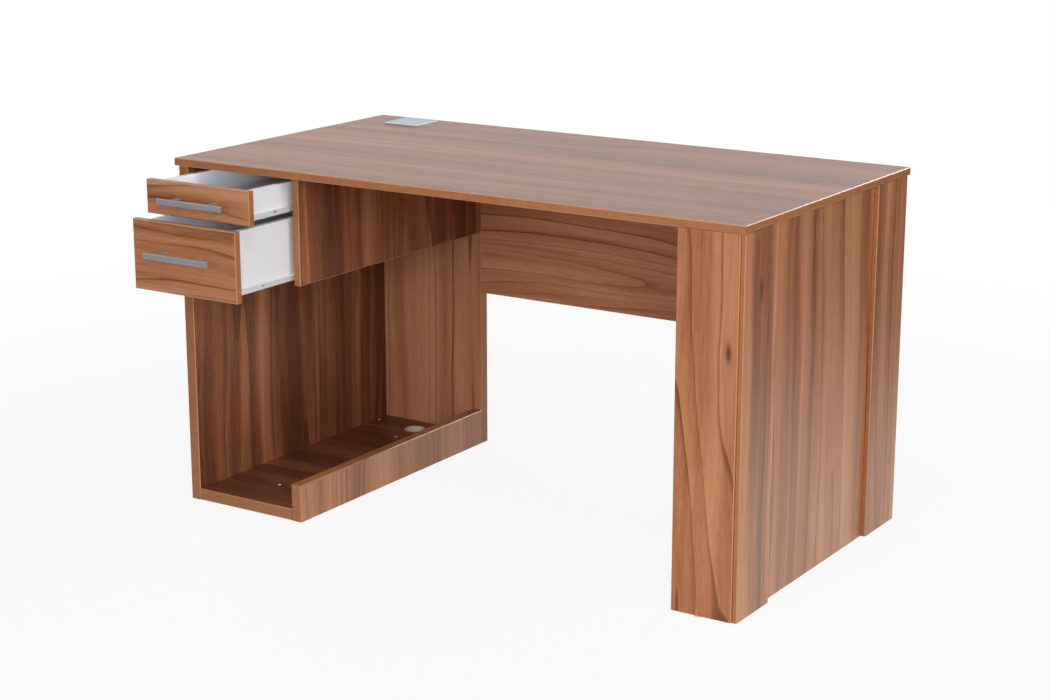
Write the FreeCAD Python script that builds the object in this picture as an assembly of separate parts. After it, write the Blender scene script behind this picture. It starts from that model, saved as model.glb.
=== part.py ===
import FreeCAD, Part
import os
from types import SimpleNamespace

# Kneehole desk, millimetres, +Z up. The floor is z = 0, the user sits on the -Y side.
# The origin is the middle of the floor box that the desk fills with its drawers pulled out as set below.

# Overall size
desk_width = 1330.0
desk_depth = 725.0
desk_height = 750.0

# Boards and edging
top_thickness = 16.0
thick_board = 25.0
thin_board = 16.0
edging_thickness = 2.0
edging_bevel = 1.5
housed_depth = 5.0
tongue_thickness = 8.0

# Floor glides
glide_height = 3.0
glide_radius = 7.5
glide_inset = 60.0

# Pedestal with its open computer bay
pedestal_width = 302.0
pedestal_setback = 12.0
back_setback = 12.0
tray_lip_height = 80.0
cable_hole_radius = 25.0
cable_hole_from_back = 60.0

# Right leg
leg_front_width = 127.0
plank_thickness = 10.0
plank_setback = 3.0
front_plank_width = 130.0
rear_plank_width = 140.0

# Modesty panel
modesty_height = 369.0
modesty_recess = 2.0

# Cable port in the desktop
port_size = 90.0
port_corner_round = 4.0
port_from_left = 135.0
port_from_back = 72.0
port_rim_height = 4.0
port_bevel = 0.8
port_sleeve_size = 66.0
port_sleeve_wall = 2.0
port_sleeve_depth = 20.0
port_cutout_play = 0.3
port_ledge = 7.0
lid_thickness = 2.4
lid_play = 0.3
lid_pin_radius = 0.8
lid_pin_length = 2.5
lid_pin_play = 0.05
lid_notch_radius = 7.0
lid_notch_depth = 3.0
lid_rear_room = 0.6

# Drawer fronts and how far the drawers stand open
front_thickness = 16.0
closed_gap = 2.0
front_left_gap = 3.0
front_right_inset = 5.0
front_top_gap = 8.0
front_between_gap = 4.0
upper_front_height = 70.0
lower_front_height = 145.0
upper_pull = 130.0
lower_pull = 175.0

# Drawer boxes
drawer_length = 500.0
drawer_side_thickness = 12.0
upper_side_height = 60.0
lower_side_height = 129.0
upper_side_lift = 4.0
lower_side_lift = 9.0
drawer_bottom_thickness = 4.0
groove_lift = 10.0
groove_depth = 5.0
groove_play = 0.2

# Bar handles
handle_length = 168.0
handle_height = 12.0
handle_bar_thickness = 8.0
handle_reach = 30.0
handle_post_spacing = 96.0
handle_post_width = 12.0
handle_bevel = 0.8
upper_handle_lift = -2.0
lower_handle_lift = 6.0
handle_screw_radius = 2.0
handle_screw_bite = 12.0
handle_screw_head_radius = 4.0
handle_screw_head_height = 2.2

# Roller slides, measured from the cabinet board towards the drawer and up from the drawer side's lower edge
slide_clearance = 12.5
slide_travel = 380.0
rail_length = 500.0
rail_front_gap = 12.0
rail_sheet = 1.2
rail_flange = 9.5
rail_below_drawer = 9.0
drawer_rail_sheet = 1.0
drawer_rail_under = 11.0
drawer_rail_outward = 8.0
drawer_rail_front_gap = 1.0
roller_radius = 8.0
roller_width = 7.0
roller_bore_radius = 2.55
roller_side_gap = 0.8
roller_clearance = 0.3
roller_head_room = 0.7
rail_over_gap = 1.0
axle_radius = 2.5
axle_head_radius = 3.6
axle_head_height = 0.8
axle_from_end = 14.0
tab_drop = 5.0
rear_tab_length = 28.0
front_tab_length = 10.0
stop_gap = 0.5
stop_width = 5.0
stop_drop = 5.0
rail_screw_radius = 2.5
rail_screw_length = 8.0
rail_screw_head_height = 1.0
rail_screw_lift = 6.0
rail_screw_from_front = 90.0

# Hidden joints between the boards
joint_inset = 70.0
dowel_radius = 4.0
dowel_into_thin = 10.0
dowel_into_deep = 20.0
cam_radius = 7.5
cam_length = 12.0
cam_from_edge = 34.0
cam_bolt_radius = 3.0
cam_bolt_into_top = 10.0

# Places worked out from the sizes
left = -desk_width / 2
right = desk_width / 2
open_reach = max(upper_pull, lower_pull) + handle_reach - pedestal_setback
top_back = (desk_depth + open_reach) / 2
top_front = top_back - desk_depth
top_under = desk_height - top_thickness
foot = glide_height
pedestal_front = top_front + pedestal_setback
pedestal_back = top_back - back_setback
pedestal_right = left + pedestal_width
left_inner = left + thick_board
lip_inner = pedestal_right - thick_board
lip_top = foot + tray_lip_height
tray_top = foot + thick_board
tray_middle = (left_inner + lip_inner) / 2
back_face = pedestal_back - thick_board
housing_inner = pedestal_right - thin_board
housing_front = pedestal_front + front_thickness + closed_gap
upper_front_bottom = top_under - front_top_gap - upper_front_height
lower_front_bottom = upper_front_bottom - front_between_gap - lower_front_height
housing_bottom = lower_front_bottom
modesty_bottom = top_under - modesty_height
modesty_front = back_face + modesty_recess
modesty_back = modesty_front + thin_board
leg_outer = right - plank_thickness
leg_inner = leg_outer - thin_board
leg_front_left = leg_outer - leg_front_width
leg_front_back = top_front + thin_board
front_plank_front = top_front + plank_setback
front_plank_back = front_plank_front + front_plank_width
rear_plank_front = pedestal_back - rear_plank_width
port_x = left + port_from_left
port_y = top_back - port_from_back
front_left = left_inner + front_left_gap
front_right = pedestal_right - front_right_inset
front_middle = (front_left + front_right) / 2
box_left = left_inner + slide_clearance
box_right = housing_inner - slide_clearance

Vec = FreeCAD.Vector
X = Vec(1, 0, 0)
Y = Vec(0, 1, 0)
Z = Vec(0, 0, 1)
TOUCH = 1e-6

pieces = {}
holes = {}
groups = {}


def box(x0, x1, y0, y1, z0, z1):
    low = Vec(min(x0, x1), min(y0, y1), min(z0, z1))
    return Part.makeBox(abs(x1 - x0), abs(y1 - y0), abs(z1 - z0), low)


def rod(start, direction, radius, length):
    return Part.makeCylinder(radius, length, start, direction)


def turned(start, direction, outline):
    """A solid turned about a line: outline holds (radius, distance along the line) points."""
    points = [Vec(radius, 0, distance) for radius, distance in outline]
    face = Part.Face(Part.makePolygon(points + points[:1]))
    solid = face.revolve(Vec(0, 0, 0), Z, 360)
    solid.Placement = FreeCAD.Placement(start, FreeCAD.Rotation(Z, direction))
    return solid


def profile(points, y0, length):
    """A section drawn in X and Z, drawn out along Y."""
    corners = [Vec(x, y0, z) for x, z in points]
    return Part.Face(Part.makePolygon(corners + corners[:1])).extrude(Vec(0, length, 0))


def drill(name, tool):
    holes.setdefault(name, []).append(tool)


def add(group, solid):
    groups.setdefault(group, []).append(solid)


def outer_edges(solid, outward):
    """The two long edges of a strip that lie on its outward face."""
    reach = max(vertex.Point.dot(outward) for vertex in solid.Vertexes)
    on_face = []
    for edge in solid.Edges:
        if all(reach - vertex.Point.dot(outward) < TOUCH for vertex in edge.Vertexes):
            on_face.append(edge)
    return sorted(on_face, key=lambda edge: edge.Length)[-2:]


def strip(group, name, outward, *limits):
    solid = box(*limits)
    pieces[name] = solid.makeChamfer(edging_bevel, outer_edges(solid, outward))
    groups.setdefault(group, []).append(name)


def finished(name):
    tools = holes.get(name)
    return pieces[name].cut(tools) if tools else pieces[name]


def cam_joint(cam_board, bolt_board, point, bolt_way, cam_way, face_distance):
    """A cam in one board draws a bolt that is screwed into the other board."""
    middle = point - bolt_way * cam_from_edge
    cam = rod(middle + cam_way * face_distance, -cam_way, cam_radius, cam_length)
    bolt = rod(middle, bolt_way, cam_bolt_radius, cam_from_edge + cam_bolt_into_top).cut(cam)
    drill(cam_board, cam)
    drill(cam_board, bolt)
    drill(bolt_board, bolt)
    add("cam_housings", cam)
    add("cam_bolts", bolt)


def dowel_joint(deep_board, other_board, point, way_in):
    """A dowel that stands deep in one board and enters the other along way_in."""
    solid = rod(point - way_in * dowel_into_deep, way_in, dowel_radius, dowel_into_deep + dowel_into_thin)
    drill(deep_board, solid)
    drill(other_board, solid)
    add("frame_dowels", solid)


def near_ends(start, end):
    """Two points on an edge, set in from its ends."""
    along = (end - start).normalize()
    return start + along * joint_inset, end - along * joint_inset


def make_desktop():
    inner = edging_thickness
    pieces["desktop"] = box(left + inner, right - inner, top_front + inner, top_back - inner,
                            top_under, desk_height)
    group = "desktop_edging"
    strip(group, "top_front_strip", -Y, left, right, top_front, top_front + inner, top_under, desk_height)
    strip(group, "top_back_strip", Y, left, right, top_back - inner, top_back, top_under, desk_height)
    strip(group, "top_left_strip", -X, left, left + inner, top_front + inner, top_back - inner,
          top_under, desk_height)
    strip(group, "top_right_strip", X, right - inner, right, top_front + inner, top_back - inner,
          top_under, desk_height)
    half = port_sleeve_size / 2 + port_cutout_play
    drill("desktop", box(port_x - half, port_x + half, port_y - half, port_y + half, top_under, desk_height))


def make_pedestal():
    face = pedestal_front + edging_thickness
    pieces["left_side_panel"] = box(left, left_inner, face, pedestal_back, foot, top_under)
    tongue_low = foot + (thick_board - tongue_thickness) / 2
    tongues = box(left_inner - housed_depth, lip_inner + housed_depth, face, back_face,
                  tongue_low, tongue_low + tongue_thickness)
    tray = box(left_inner, lip_inner, face, back_face, foot, tray_top)
    pieces["tray_board"] = tray.fuse(tongues).removeSplitter()
    pieces["tray_lip"] = box(lip_inner, pedestal_right, face, back_face, foot, lip_top - edging_thickness)
    pieces["pedestal_back"] = box(left_inner - housed_depth, pedestal_right - edging_thickness,
                                  back_face, pedestal_back, foot, top_under)
    drill("left_side_panel", tongues)
    drill("left_side_panel", pieces["pedestal_back"])
    drill("tray_lip", tongues)
    pieces["drawer_housing_panel"] = box(housing_inner, pedestal_right,
                                         housing_front + edging_thickness, back_face,
                                         housing_bottom + edging_thickness, top_under)
    hole_middle = Vec(tray_middle, back_face - cable_hole_from_back, foot)
    drill("tray_board", rod(hole_middle, Z, cable_hole_radius, thick_board))
    group = "pedestal_edging"
    strip(group, "left_panel_strip", -Y, left, left_inner, pedestal_front, face, foot, top_under)
    strip(group, "tray_strip", -Y, left_inner, lip_inner, pedestal_front, face, foot, tray_top)
    strip(group, "lip_front_strip", -Y, lip_inner, pedestal_right, pedestal_front, face, foot, lip_top)
    strip(group, "lip_top_strip", Z, lip_inner, pedestal_right, face, back_face,
          lip_top - edging_thickness, lip_top)
    strip(group, "pedestal_back_strip", X, pedestal_right - edging_thickness, pedestal_right,
          back_face, pedestal_back, foot, top_under)
    strip(group, "housing_front_strip", -Y, housing_inner, pedestal_right,
          housing_front, housing_front + edging_thickness, housing_bottom, top_under)
    strip(group, "housing_bottom_strip", -Z, housing_inner, pedestal_right,
          housing_front + edging_thickness, back_face, housing_bottom, housing_bottom + edging_thickness)


def make_modesty_panel():
    pieces["modesty_panel"] = box(pedestal_right, leg_inner + housed_depth, modesty_front, modesty_back,
                                  modesty_bottom + edging_thickness, top_under)
    drill("leg_side_panel", pieces["modesty_panel"])
    strip("pedestal_edging", "modesty_strip", -Z, pedestal_right, leg_inner, modesty_front, modesty_back,
          modesty_bottom, modesty_bottom + edging_thickness)


def make_plank(name, front, back):
    inner = edging_thickness
    pieces[name] = box(leg_outer, right, front + inner, back - inner, foot, top_under)
    strip("leg_edging", name + "_front_strip", -Y, leg_outer, right, front, front + inner, foot, top_under)
    strip("leg_edging", name + "_back_strip", Y, leg_outer, right, back - inner, back, foot, top_under)


def make_leg():
    inner = edging_thickness
    pieces["leg_front_panel"] = box(leg_front_left + inner, leg_outer - inner,
                                    top_front, leg_front_back, foot, top_under)
    pieces["leg_side_panel"] = box(leg_inner, leg_outer, leg_front_back, pedestal_back, foot, top_under)
    strip("leg_edging", "leg_front_left_strip", -X, leg_front_left, leg_front_left + inner,
          top_front, leg_front_back, foot, top_under)
    strip("leg_edging", "leg_front_right_strip", X, leg_outer - inner, leg_outer,
          top_front, leg_front_back, foot, top_under)
    make_plank("leg_front_plank", front_plank_front, front_plank_back)
    make_plank("leg_rear_plank", rear_plank_front, pedestal_back)


def make_board_joints():
    thick_half = thick_board / 2
    thin_half = thin_board / 2
    panel_x = left + thick_half
    leg_x = leg_inner + thin_half
    for point in near_ends(Vec(panel_x, pedestal_front, top_under), Vec(panel_x, back_face, top_under)):
        cam_joint("left_side_panel", "desktop", point, Z, X, thick_half)
    for point in near_ends(Vec(leg_x, leg_front_back, top_under), Vec(leg_x, modesty_front, top_under)):
        cam_joint("leg_side_panel", "desktop", point, Z, -X, thin_half)

    housing_x = housing_inner + thin_half
    modesty_y = modesty_front + thin_half
    for point in near_ends(Vec(housing_x, housing_front, top_under), Vec(housing_x, back_face, top_under)):
        dowel_joint("drawer_housing_panel", "desktop", point, Z)
    for point in near_ends(Vec(pedestal_right, modesty_y, top_under), Vec(leg_inner, modesty_y, top_under)):
        dowel_joint("modesty_panel", "desktop", point, Z)
    dowel_joint("pedestal_back", "desktop", Vec(tray_middle, back_face + thick_half, top_under), Z)
    dowel_joint("leg_front_panel", "desktop",
                Vec((leg_front_left + leg_inner) / 2, top_front + thin_half, top_under), Z)


def make_glides():
    thick_half = thick_board / 2
    near = pedestal_front + glide_inset
    far = back_face - glide_inset
    leg_x = leg_inner + thin_board / 2
    spots = [(left + thick_half, near), (left + thick_half, far),
             (pedestal_right - thick_half, near), (pedestal_right - thick_half, far),
             (leg_x, near + glide_inset), (leg_x, far),
             ((leg_front_left + leg_inner) / 2, top_front + thin_board / 2)]
    for x, y in spots:
        add("floor_glides", rod(Vec(x, y, 0), Z, glide_radius, glide_height))


def square(size, z0, z1, round_radius=0.0):
    half = size / 2
    solid = box(port_x - half, port_x + half, port_y - half, port_y + half, z0, z1)
    if round_radius:
        upright = [edge for edge in solid.Edges if abs(edge.Length - (z1 - z0)) < TOUCH]
        solid = solid.makeFillet(round_radius, upright)
    return solid


def make_port():
    rim_top = desk_height + port_rim_height
    hole_size = port_sleeve_size - 2 * port_sleeve_wall
    recess_size = hole_size + 2 * port_ledge
    ledge_z = rim_top - lid_thickness - 2 * lid_play
    flange = square(port_size, desk_height, rim_top, port_corner_round)
    crown = [edge for edge in flange.Edges if all(rim_top - v.Point.z < TOUCH for v in edge.Vertexes)]
    flange = flange.makeChamfer(port_bevel, crown)
    sleeve = square(port_sleeve_size, desk_height - port_sleeve_depth, desk_height)
    frame = flange.fuse(sleeve).removeSplitter()
    frame = frame.cut(square(hole_size, desk_height - port_sleeve_depth, rim_top))
    frame = frame.cut(square(recess_size, ledge_z, rim_top))

    barrel = lid_thickness / 2
    axis_z = rim_top - lid_play - barrel
    lid_half = recess_size / 2 - lid_play
    axis_y = port_y + recess_size / 2 - barrel - lid_rear_room
    plate = box(port_x - lid_half, port_x + lid_half, port_y - lid_half, axis_y,
                axis_z - barrel, axis_z + barrel)
    plate = plate.fuse(rod(Vec(port_x - lid_half, axis_y, axis_z), X, barrel, 2 * lid_half)).removeSplitter()
    notch_middle = Vec(port_x, port_y - lid_half - lid_notch_radius + lid_notch_depth, axis_z - barrel)
    plate = plate.cut(rod(notch_middle, Z, lid_notch_radius, lid_thickness))
    for side in (-1, 1):
        pin_start = Vec(port_x + side * lid_half, axis_y, axis_z)
        plate = plate.fuse(rod(pin_start, X * side, lid_pin_radius, lid_pin_length))
        frame = frame.cut(rod(pin_start, X * side, lid_pin_radius + lid_pin_play, lid_pin_length + lid_play))
    pieces["port_frame"] = frame
    pieces["port_lid"] = plate.removeSplitter()


def drawer_plan(level, pull, front_bottom, front_height, side_lift, side_height, handle_lift):
    """The heights of one drawer and where it stands along Y."""
    face = pedestal_front - pull
    return SimpleNamespace(level=level, name=level + "_drawer", pull=pull,
                           face=face, inside=face + front_thickness,
                           back=face + front_thickness + drawer_length,
                           front_bottom=front_bottom, front_top=front_bottom + front_height,
                           handle_z=front_bottom + front_height / 2 + handle_lift,
                           low=front_bottom + side_lift, high=front_bottom + side_lift + side_height)


def make_drawer_front(d):
    inner = edging_thickness
    name = d.name + "_front"
    group = d.name + "_front_edging"
    pieces[name] = box(front_left + inner, front_right - inner, d.face, d.inside,
                       d.front_bottom + inner, d.front_top - inner)
    for end, outward, inset in ((front_left, -X, inner), (front_right, X, -inner)):
        strip(group, "%s_%s" % (group, "left" if inset > 0 else "right"), outward, end, end + inset,
              d.face, d.inside, d.front_bottom, d.front_top)
    for end, outward, inset in ((d.front_bottom, -Z, inner), (d.front_top, Z, -inner)):
        strip(group, "%s_%s" % (group, "bottom" if inset > 0 else "top"), outward, front_left + inner,
              front_right - inner, d.face, d.inside, end, end + inset)


def make_drawer_box(d):
    wall = drawer_side_thickness
    groove = d.low + groove_lift
    groove_top = groove + drawer_bottom_thickness + groove_play
    sides = {"_side_left": box_left, "_side_right": box_right - wall}
    for name, x in sides.items():
        pieces[d.name + name] = box(x, x + wall, d.inside - housed_depth, d.back, d.low, d.high)
        drill(d.name + "_front", pieces[d.name + name])
    pieces[d.name + "_back"] = box(box_left + wall - housed_depth, box_right - wall + housed_depth,
                                   d.back - 2 * wall, d.back - wall, groove + drawer_bottom_thickness, d.high)
    grooves = box(box_left + wall - groove_depth, box_right - wall + groove_depth, d.inside - groove_depth,
                  d.back, groove, groove_top)
    for name in sides:
        drill(d.name + name, grooves)
        drill(d.name + name, pieces[d.name + "_back"])
    drill(d.name + "_front", grooves)
    pieces[d.name + "_bottom"] = box(box_left + wall - groove_depth + groove_play,
                                     box_right - wall + groove_depth - groove_play,
                                     d.inside - groove_depth + groove_play, d.back,
                                     groove, groove + drawer_bottom_thickness)


def make_handle(d):
    bar_back = d.face - handle_reach + handle_bar_thickness
    half = handle_length / 2
    low = d.handle_z - handle_height / 2
    high = d.handle_z + handle_height / 2
    bar = box(front_middle - half, front_middle + half, d.face - handle_reach, bar_back, low, high)
    bar = bar.makeChamfer(handle_bevel, bar.Edges)
    bite_end = d.face - handle_screw_bite
    shank_length = front_thickness + handle_screw_bite
    outline = [(0, 0), (handle_screw_radius, 0), (handle_screw_radius, shank_length),
               (handle_screw_head_radius, shank_length),
               (handle_screw_head_radius, shank_length + handle_screw_head_height),
               (0, shank_length + handle_screw_head_height)]
    for side in (-1, 1):
        x = front_middle + side * handle_post_spacing / 2
        post_half = handle_post_width / 2
        bar = bar.fuse(box(x - post_half, x + post_half, bar_back - handle_bevel, d.face,
                           low + handle_bevel, high - handle_bevel))
        screw = turned(Vec(x, bite_end, d.handle_z), Y, outline)
        drill(d.name + "_handle", screw)
        drill(d.name + "_front", screw)
        add(d.name + "_handle_screws", screw)
    pieces[d.name + "_handle"] = bar.removeSplitter()


def slide_place(side):
    """The board face that a slide hangs on and the way from it to the drawer."""
    return (left_inner, X) if side == "left" else (housing_inner, -X)


def slide_section(face, way, points, level):
    return [(face + way.x * across, level + up) for across, up in points]


def slide_box(face, way, across0, across1, y0, y1, z0, z1):
    return box(face + way.x * across0, face + way.x * across1, y0, y1, z0, z1)


# Heights of the slide above the drawer side's lower edge
channel_floor = rail_sheet - rail_below_drawer
channel_roof = channel_floor + 2 * roller_radius + roller_clearance + roller_head_room
channel_top = channel_roof + rail_sheet
drawer_flange_under = channel_top + rail_over_gap
drawer_flange_top = drawer_flange_under + drawer_rail_sheet
rear_axle_lift = channel_floor + roller_clearance + roller_radius
front_axle_lift = drawer_flange_under - roller_clearance - roller_radius

# Distances of the slide from the cabinet board
front_roller_start = rail_sheet + roller_side_gap
drawer_web = slide_clearance - drawer_rail_sheet
rear_roller_end = drawer_web - roller_side_gap
rear_roller_start = rear_roller_end - roller_width

# Places along Y
cabinet_rail_front = housing_front + rail_front_gap
front_axle_y = cabinet_rail_front + axle_from_end
closed_drawer_rail_front = pedestal_front + front_thickness + drawer_rail_front_gap
closed_rear_axle_y = closed_drawer_rail_front + rail_length - axle_from_end
stop_back = closed_rear_axle_y - slide_travel - roller_radius - stop_gap


def make_cabinet_rail(d, side):
    face, way = slide_place(side)
    name = "cabinet_rail_%s_%s" % (d.level, side)
    section = [(0, channel_floor - rail_sheet), (rail_flange, channel_floor - rail_sheet),
               (rail_flange, channel_floor), (rail_sheet, channel_floor), (rail_sheet, channel_roof),
               (rail_flange, channel_roof), (rail_flange, channel_top), (0, channel_top)]
    rail = profile(slide_section(face, way, section, d.low), cabinet_rail_front, rail_length)
    window_back = front_axle_y + roller_radius + roller_side_gap
    rail = rail.cut(slide_box(face, way, rail_sheet, rail_flange, cabinet_rail_front, window_back,
                              d.low + channel_roof, d.low + channel_top))
    stop = slide_box(face, way, rail_sheet, rail_sheet + stop_width, stop_back - rail_sheet, stop_back,
                     d.low + channel_roof - stop_drop, d.low + channel_roof)
    pieces[name] = rail.fuse(stop).removeSplitter()

    axle = rivet(Vec(face, front_axle_y, d.low + front_axle_lift), way, front_roller_start + roller_width)
    drill(name, axle)
    add("cabinet_roller_axles", axle)
    roller_middle = Vec(face + way.x * front_roller_start, front_axle_y, d.low + front_axle_lift)
    pieces["cabinet_roller_%s_%s" % (d.level, side)] = roller(roller_middle, way)


def make_drawer_rail(d, side):
    face, way = slide_place(side)
    name = "%s_rail_%s" % (d.name, side)
    start = closed_drawer_rail_front - d.pull
    end = start + rail_length
    flange_tip = drawer_web - drawer_rail_outward
    under = slide_clearance + drawer_rail_under
    section = [(flange_tip, drawer_flange_under), (drawer_web, drawer_flange_under),
               (drawer_web, -drawer_rail_sheet), (under, -drawer_rail_sheet), (under, 0),
               (slide_clearance, 0), (slide_clearance, drawer_flange_top), (flange_tip, drawer_flange_top)]
    rail = profile(slide_section(face, way, section, d.low), start, rail_length)
    for y0, y1 in ((start, start + front_tab_length), (end - rear_tab_length, end)):
        rail = rail.fuse(slide_box(face, way, drawer_web, slide_clearance, y0, y1,
                                   d.low - drawer_rail_sheet - tab_drop, d.low))
    pieces[name] = rail.removeSplitter()

    screw_start = Vec(face + way.x * (drawer_web - rail_screw_head_height), start + rail_screw_from_front,
                      d.low + rail_screw_lift)
    screw = rod(screw_start, way, rail_screw_radius,
                rail_screw_head_height + drawer_rail_sheet + rail_screw_length)
    drill(name, screw)
    drill("%s_side_%s" % (d.name, side), screw)
    add(d.name + "_rail_screws", screw)

    axle_y = end - axle_from_end
    axle_z = d.low + rear_axle_lift
    axle_start = Vec(face + way.x * slide_clearance, axle_y, axle_z)
    axle = rivet(axle_start, -way, slide_clearance - rear_roller_start)
    drill(name, axle)
    add(d.name + "_roller_axles", axle)
    roller_middle = Vec(face + way.x * rear_roller_end, axle_y, axle_z)
    pieces["drawer_roller_%s_%s" % (d.level, side)] = roller(roller_middle, -way)


def rivet(start, way, shank):
    """An axle riveted flush into its rail, with a head that keeps the roller on."""
    outline = [(0, 0), (axle_radius, 0), (axle_radius, shank), (axle_head_radius, shank),
               (axle_head_radius, shank + axle_head_height), (0, shank + axle_head_height)]
    return turned(start, way, outline)


def roller(start, way):
    outline = [(roller_bore_radius, 0), (roller_radius, 0), (roller_radius, roller_width),
               (roller_bore_radius, roller_width)]
    return turned(start, way, outline)


def make_drawer(d):
    make_drawer_front(d)
    make_drawer_box(d)
    make_handle(d)
    for side in ("left", "right"):
        make_cabinet_rail(d, side)
        make_drawer_rail(d, side)


def write(name, solids):
    shape = solids[0] if len(solids) == 1 else Part.makeCompound(solids)
    for solid in shape.Solids:
        assert solid.isValid(), name
    shape.exportStep("parts/%s.step" % name)


def main():
    os.makedirs("parts", exist_ok=True)
    make_desktop()
    make_pedestal()
    make_modesty_panel()
    make_leg()
    make_port()
    make_drawer(drawer_plan("upper", upper_pull, upper_front_bottom, upper_front_height,
                            upper_side_lift, upper_side_height, upper_handle_lift))
    make_drawer(drawer_plan("lower", lower_pull, lower_front_bottom, lower_front_height,
                            lower_side_lift, lower_side_height, lower_handle_lift))
    make_board_joints()
    make_glides()
    grouped = set()
    for group, members in groups.items():
        solids = [finished(member) if isinstance(member, str) else member for member in members]
        grouped.update(member for member in members if isinstance(member, str))
        write(group, solids)
    for name in pieces:
        if name not in grouped:
            write(name, [finished(name)])


main()
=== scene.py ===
"""Kneehole desk: finishes, small fittings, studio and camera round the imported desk."""

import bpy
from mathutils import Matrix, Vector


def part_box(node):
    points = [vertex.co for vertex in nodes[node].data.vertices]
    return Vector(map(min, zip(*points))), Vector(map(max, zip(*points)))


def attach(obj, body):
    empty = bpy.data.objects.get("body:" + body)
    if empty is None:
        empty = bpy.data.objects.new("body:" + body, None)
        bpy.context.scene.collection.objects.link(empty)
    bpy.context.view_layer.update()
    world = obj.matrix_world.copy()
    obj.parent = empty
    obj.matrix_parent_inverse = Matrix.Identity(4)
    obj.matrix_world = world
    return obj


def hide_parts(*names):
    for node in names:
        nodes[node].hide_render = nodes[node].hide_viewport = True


bl_info = {
    "name": "Kneehole Desk",
    "version": (1, 0, 0),
    "blender": (4, 5, 0),
    "location": "View3D > Sidebar > Desk",
    "description": "Walnut foil boards, white drawers and satin metal fittings for a kneehole desk",
    "category": "Object",
}

import math

import bmesh
import bpy
from bpy.props import FloatProperty, FloatVectorProperty, PointerProperty
from mathutils import Matrix, Vector

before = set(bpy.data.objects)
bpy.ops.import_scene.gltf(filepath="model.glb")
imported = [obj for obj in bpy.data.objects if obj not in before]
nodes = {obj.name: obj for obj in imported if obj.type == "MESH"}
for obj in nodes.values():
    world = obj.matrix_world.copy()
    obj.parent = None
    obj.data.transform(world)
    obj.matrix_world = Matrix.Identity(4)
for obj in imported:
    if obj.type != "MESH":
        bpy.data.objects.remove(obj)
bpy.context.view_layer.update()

DRAWERS = ("upper", "lower")
SIDES = ("left", "right")


# Settings

def colour_property(name, description, default):
    return FloatVectorProperty(name=name, description=description, subtype="COLOR", size=3,
                               min=0.0, max=1.0, default=default)


def length_property(name, description, default):
    return FloatProperty(name=name, description=description, unit="LENGTH", min=0.0, default=default)


def share_property(name, description, default):
    return FloatProperty(name=name, description=description, subtype="FACTOR",
                         min=0.0, max=1.0, default=default)


def power_property(name, description, default):
    return FloatProperty(name=name, description=description, subtype="POWER", min=0.0, default=default)


class WalnutSettings(bpy.types.PropertyGroup):
    """Colours and figure of the walnut foil."""

    dark: colour_property("Dark bands", "Darkest bands of the figure", (0.135, 0.046, 0.021))
    brown: colour_property("Brown bands", "Bands between dark and reddish", (0.270, 0.098, 0.042))
    reddish: colour_property("Reddish bands", "The foil's main colour", (0.425, 0.170, 0.080))
    light: colour_property("Light bands", "Palest bands of the figure", (0.575, 0.275, 0.143))
    knot: colour_property("Knots", "Heart of a knot", (0.060, 0.020, 0.010))
    band_width: length_property("Band width", "Usual width of a colour band", 0.042)
    ring_depth: share_property("Ring lines", "How dark the growth lines are", 0.75)
    gloss: share_property("Roughness", "Roughness of the foil's satin coat", 0.36)


class EdgingSettings(bpy.types.PropertyGroup):
    """Colours of the edging strips."""

    strip: colour_property("Strip", "Colour of the strip's face", (0.410, 0.160, 0.064))
    # Painted highlight: the bevel is drawn paler than the strip's face, as if it caught the light
    bevel: colour_property("Bevel", "Paler colour of the highlighted bevel", (0.470, 0.240, 0.122))


class DrawerSettings(bpy.types.PropertyGroup):
    """Colours of the white drawer boards and of raw board."""

    white: colour_property("White foil", "Coating of the drawer boards", (0.862, 0.876, 0.905))
    raw_board: colour_property("Raw board", "Uncoated board inside the cable hole", (0.860, 0.760, 0.600))


class MetalSettings(bpy.types.PropertyGroup):
    """Colours of the metal and plastic fittings."""

    handle: colour_property("Handle", "Satin aluminium of the bar handles", (0.430, 0.440, 0.455))
    port_rim: colour_property("Port rim", "Silver of the cable port's frame", (0.600, 0.615, 0.650))
    port_lid: colour_property("Port lid", "Blue-grey silver of the port's lid", (0.430, 0.470, 0.560))
    steel: colour_property("Steel", "Zinc-plated screws, cams and axles", (0.560, 0.560, 0.570))
    rail: colour_property("Rail paint", "White powder coat of the slide rails", (0.760, 0.765, 0.775))
    nylon: colour_property("Nylon", "Rollers, glides and screw caps", (0.800, 0.800, 0.790))
    dowel: colour_property("Beech", "Dowels between the boards", (0.560, 0.380, 0.210))


class FittingSettings(bpy.types.PropertyGroup):
    """Sizes of the small fittings that are made here."""

    cap_radius: length_property("Cap radius", "Radius of a screw cap on the tray", 0.0038)
    cap_height: length_property("Cap height", "Height of a screw cap", 0.0012)
    screw_radius: length_property("Screw head radius", "Radius of a rail screw's head", 0.0031)
    screw_height: length_property("Screw head height", "Height of a rail screw's head", 0.0012)
    cabinet_shank: length_property("Cabinet screw shank", "Length of a cabinet rail screw", 0.011)
    drawer_shank: length_property("Drawer screw shank", "Length of a drawer rail screw", 0.009)
    handle_screw_radius: length_property("Handle screw radius", "Radius of a handle screw's head", 0.0040)
    handle_screw_height: length_property("Handle screw height", "Height of a handle screw's head", 0.0022)
    handle_shank: length_property("Handle screw shank", "Length of a handle screw", 0.026)
    roller_round: length_property("Roller rounding", "Rounding of a roller's rim", 0.0010)
    roller_dish: length_property("Roller dish", "Depth of the dish in a roller's faces", 0.0012)


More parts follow.
